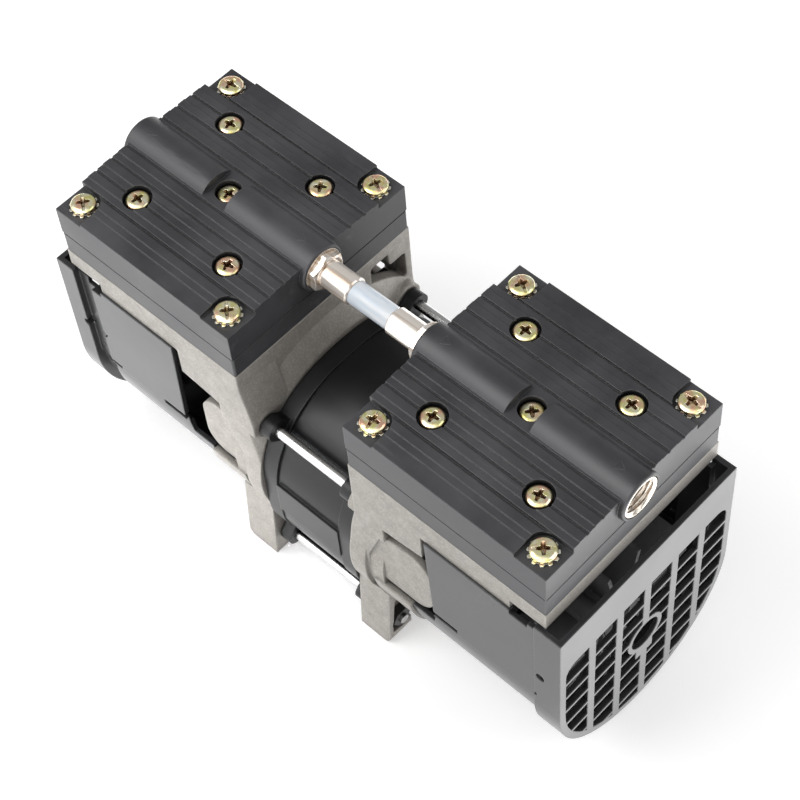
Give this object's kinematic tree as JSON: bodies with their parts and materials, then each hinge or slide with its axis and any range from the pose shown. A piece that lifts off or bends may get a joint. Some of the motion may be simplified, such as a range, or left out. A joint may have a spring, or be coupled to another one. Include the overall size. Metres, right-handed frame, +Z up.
{
  "type": "diaphragm vacuum pump",
  "caption": "Diaphragm vacuum pump: a motor between die-cast crankcases, ribbed black heads joined by a clear link tube, and fan shrouds with grilles at the ends.",
  "frame": {"origin": "bottom centre of the bounding box, on the plane the feet stand on, under the middle of the motor", "axes": "+X along the motor shaft towards the outlet end, +Y across the feet to the far side, +Z up"},
  "size_m": [0.22, 0.082, 0.1295],
  "materials": {
    "die_cast": "satin as-cast, bead blasted",
    "head_plastic": "matt moulded, slightly grained",
    "gasket_rubber": "matt",
    "shroud_plastic": "satin moulded",
    "yellow_zinc": "yellow zinc plated",
    "washer_zinc": "zinc plated",
    "nickel": "nickel plated",
    "insert_brass": "nickel plated, turned",
    "clear_tube": "milky clear",
    "bright_steel": "ground bright",
    "core_lacquer": "black lacquer, glossy",
    "coil_cover": "satin",
    "copper_wire": "enamelled",
    "rotor_steel": "turned, dark",
    "cast_alloy": "as cast",
    "bearing_steel": "ground",
    "diaphragm_rubber": "matt",
    "turned_alloy": "turned",
    "grey_iron": "machined",
    "fan_plastic": "moulded",
    "reed_steel": "polished strip"
  },
  "bodies": {
    "pump": {"right_bracket": "die_cast", "left_bracket": "die_cast", "right_head_cover": "head_plastic", "left_head_cover": "head_plastic", "right_valve_plate": "head_plastic", "left_valve_plate": "head_plastic", "right_head_gasket": "gasket_rubber", "left_head_gasket": "gasket_rubber", "right_diaphragm": "diaphragm_rubber", "left_diaphragm": "diaphragm_rubber", "valve_reeds": "reed_steel", "corner_screws": "yellow_zinc", "lock_washers": "washer_zinc", "cover_screws": "yellow_zinc", "outlet_port_insert": "insert_brass", "inlet_port_insert": "insert_brass", "link_port_inserts": "insert_brass", "right_tube_fitting": "nickel", "left_tube_fitting": "nickel", "right_sleeve_nut": "nickel", "left_sleeve_nut": "nickel", "link_tube": "clear_tube", "main_bearing_outer_races": "bearing_steel", "stator_core": "core_lacquer", "right_winding": "copper_wire", "left_winding": "copper_wire", "right_winding_cap": "coil_cover", "left_winding_cap": "coil_cover", "tie_rods": "bright_steel", "tie_rod_nuts": "bright_steel", "right_fan_shroud": "shroud_plastic", "left_fan_shroud": "shroud_plastic", "right_grille_cap": "shroud_plastic", "left_grille_cap": "shroud_plastic"},
    "rotor": {"motor_shaft": "bright_steel", "rotor_core": "rotor_steel", "rotor_end_rings": "cast_alloy", "main_bearing_inner_races": "bearing_steel", "rod_bearing_inner_races": "bearing_steel", "right_eccentric": "grey_iron", "left_eccentric": "grey_iron", "eccentric_set_screws": "bright_steel", "right_fan": "fan_plastic", "left_fan": "fan_plastic"},
    "right_rod": {"right_connecting_rod": "cast_alloy", "right_rod_bearing_outer": "bearing_steel", "right_diaphragm_centre": "diaphragm_rubber", "right_clamp_disc": "turned_alloy", "right_clamp_screw": "bright_steel"},
    "left_rod": {"left_connecting_rod": "cast_alloy", "left_rod_bearing_outer": "bearing_steel", "left_diaphragm_centre": "diaphragm_rubber", "left_clamp_disc": "turned_alloy", "left_clamp_screw": "bright_steel"}
  },
  "joints": [
    {"name": "rotor_spin", "type": "hinge", "parent": "pump", "child": "rotor", "pos_m": [0, 0, 0.045], "axis": [1, 0, 0], "continuous": true},
    {"name": "right_rod_turn", "type": "hinge", "parent": "rotor", "child": "right_rod", "pos_m": [0.0638, 0, 0.0475], "axis": [1, 0, 0], "continuous": true},
    {"name": "left_rod_turn", "type": "hinge", "parent": "rotor", "child": "left_rod", "pos_m": [-0.0638, 0, 0.0425], "axis": [1, 0, 0], "continuous": true}
  ],
  "couplings": [
    {"joint": "right_rod_turn", "follows": "rotor_spin", "ratio": -1},
    {"joint": "left_rod_turn", "follows": "rotor_spin", "ratio": -1}
  ]
}
